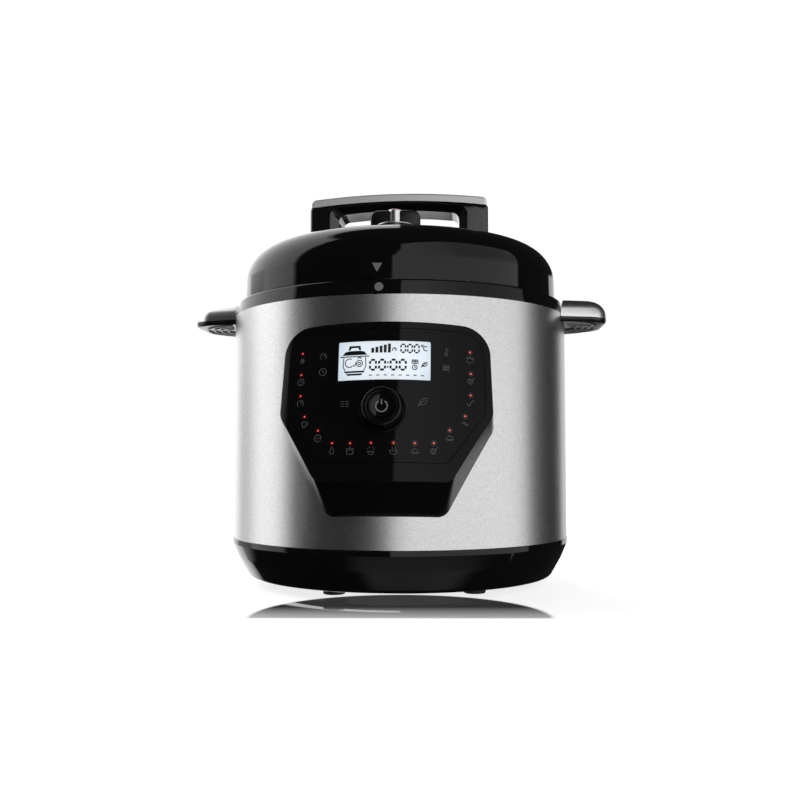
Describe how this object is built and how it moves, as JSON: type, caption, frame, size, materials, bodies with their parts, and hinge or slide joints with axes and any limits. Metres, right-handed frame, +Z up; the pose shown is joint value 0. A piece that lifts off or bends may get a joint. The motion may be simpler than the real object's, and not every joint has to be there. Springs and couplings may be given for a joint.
{
  "type": "electric pressure cooker",
  "caption": "Electric pressure cooker: round brushed steel body on a black bowl base, bayonet lid with bridge handle and steam valve, side handles, tilted control panel with dial and display.",
  "frame": {"origin": "centre of the body at the surface the feet stand on", "axes": "+Z up along the pot's axis, -Y out of the control panel, +X along the side handles"},
  "size_m": [0.367, 0.3594, 0.3473],
  "materials": {
    "steel_shell": "brushed round the body, clear satin",
    "steel": "pressed stainless steel",
    "polished": "satin chrome plate",
    "gloss_black": "high gloss",
    "black": "fine matt grain",
    "panel_black": "high gloss film over dark tint",
    "display": "clear over a lit pale blue display",
    "lamp": "translucent red",
    "red": "gloss",
    "aluminium": "cast and machined",
    "spring_steel": "bright drawn",
    "silicone": "translucent white silicone",
    "rubber": "matt",
    "board": "green solder resist",
    "component": "moulded",
    "ceramic_white": "unglazed",
    "wire": "sleeved",
    "clear": "smoky translucent",
    "inner": "dark non-stick coating on aluminium",
    "brass": "plated"
  },
  "bodies": {
    "housing": {"base_pan": "gloss_black", "bottom_cover": "black", "rubber_feet": "rubber", "base_screws": "spring_steel", "power_board": "board", "board_transformer": "component", "board_terminals": "component", "inlet_bezel": "black", "inlet_socket": "black", "inlet_pins": "brass", "inlet_screws": "spring_steel", "wiring": "wire", "body_shell": "steel_shell", "top_ring": "gloss_black", "drain_spout": "black", "side_handle_right": "black", "side_handle_left": "black", "handle_cap_right": "polished", "handle_cap_left": "polished", "side_handle_screws": "spring_steel", "outer_pot": "steel", "inner_pot": "inner", "heating_element": "spring_steel", "heating_plate": "aluminium", "element_bushings": "ceramic_white", "sensor_bracket": "steel", "probe_spring": "spring_steel", "pressure_leaf": "spring_steel", "pressure_switch": "component", "thermal_fuse": "ceramic_white", "heat_shield": "aluminium", "panel_housing": "panel_black", "panel_lens": "panel_black", "status_lamps": "lamp", "display_glass": "display", "display_backlight": "ceramic_white", "control_board": "board", "dial_bezel": "panel_black", "dial_encoder": "component", "cup_holder": "black"},
    "seal": {"sealing_ring": "silicone"},
    "lid": {"lid_cover": "gloss_black", "lid_plate": "steel", "seal_rack": "steel", "lid_grip": "black", "grip_trim": "polished", "grip_screws": "spring_steel", "exhaust_pipe": "steel", "pipe_nut": "steel", "steam_guard": "steel", "float_guide": "steel"},
    "valve_knob": {"valve_dish": "polished", "valve_wings": "black"},
    "valve_plug": {"valve_weight": "polished", "valve_marker": "red"},
    "float": {"float_pin": "steel"},
    "probe": {"temperature_probe": "aluminium"},
    "dial": {"dial_knob": "gloss_black"},
    "button": {"start_button": "gloss_black"},
    "cup": {"condensate_cup": "clear"}
  },
  "joints": [
    {"name": "lid_lift", "type": "slide", "parent": "housing", "child": "seal", "axis": [0, 0, 1], "range_m": [0, 0.25]},
    {"name": "lid_turn", "type": "hinge", "parent": "seal", "child": "lid", "pos_m": [0, 0, 0.25], "axis": [0, 0, 1], "range_deg": [-30, 0]},
    {"name": "valve_turn", "type": "hinge", "parent": "lid", "child": "valve_knob", "pos_m": [0, -0.05, 0.31], "axis": [0, 0, 1], "range_deg": [-40, 40]},
    {"name": "plug_lift", "type": "slide", "parent": "valve_knob", "child": "valve_plug", "axis": [0, 0, 1], "range_m": [0, 0.003]},
    {"name": "float_rise", "type": "slide", "parent": "lid", "child": "float", "axis": [0, 0, 1], "range_m": [0, 0.006]},
    {"name": "probe_press", "type": "slide", "parent": "housing", "child": "probe", "axis": [0, 0, 1], "range_m": [-0.0015, 0], "stiffness_N_per_m": 400, "deforming": ["probe_spring"]},
    {"name": "dial_turn", "type": "hinge", "parent": "housing", "child": "dial", "pos_m": [0, -0.16519, 0.14486], "axis": [0, -0.9781, 0.2079], "continuous": true},
    {"name": "button_press", "type": "slide", "parent": "housing", "child": "button", "axis": [0, 0.9781, -0.2079], "range_m": [0, 0.0008], "stiffness_N_per_m": 600},
    {"name": "cup_slide", "type": "slide", "parent": "housing", "child": "cup", "axis": [0, 1, 0], "range_m": [0, 0.05]}
  ]
}
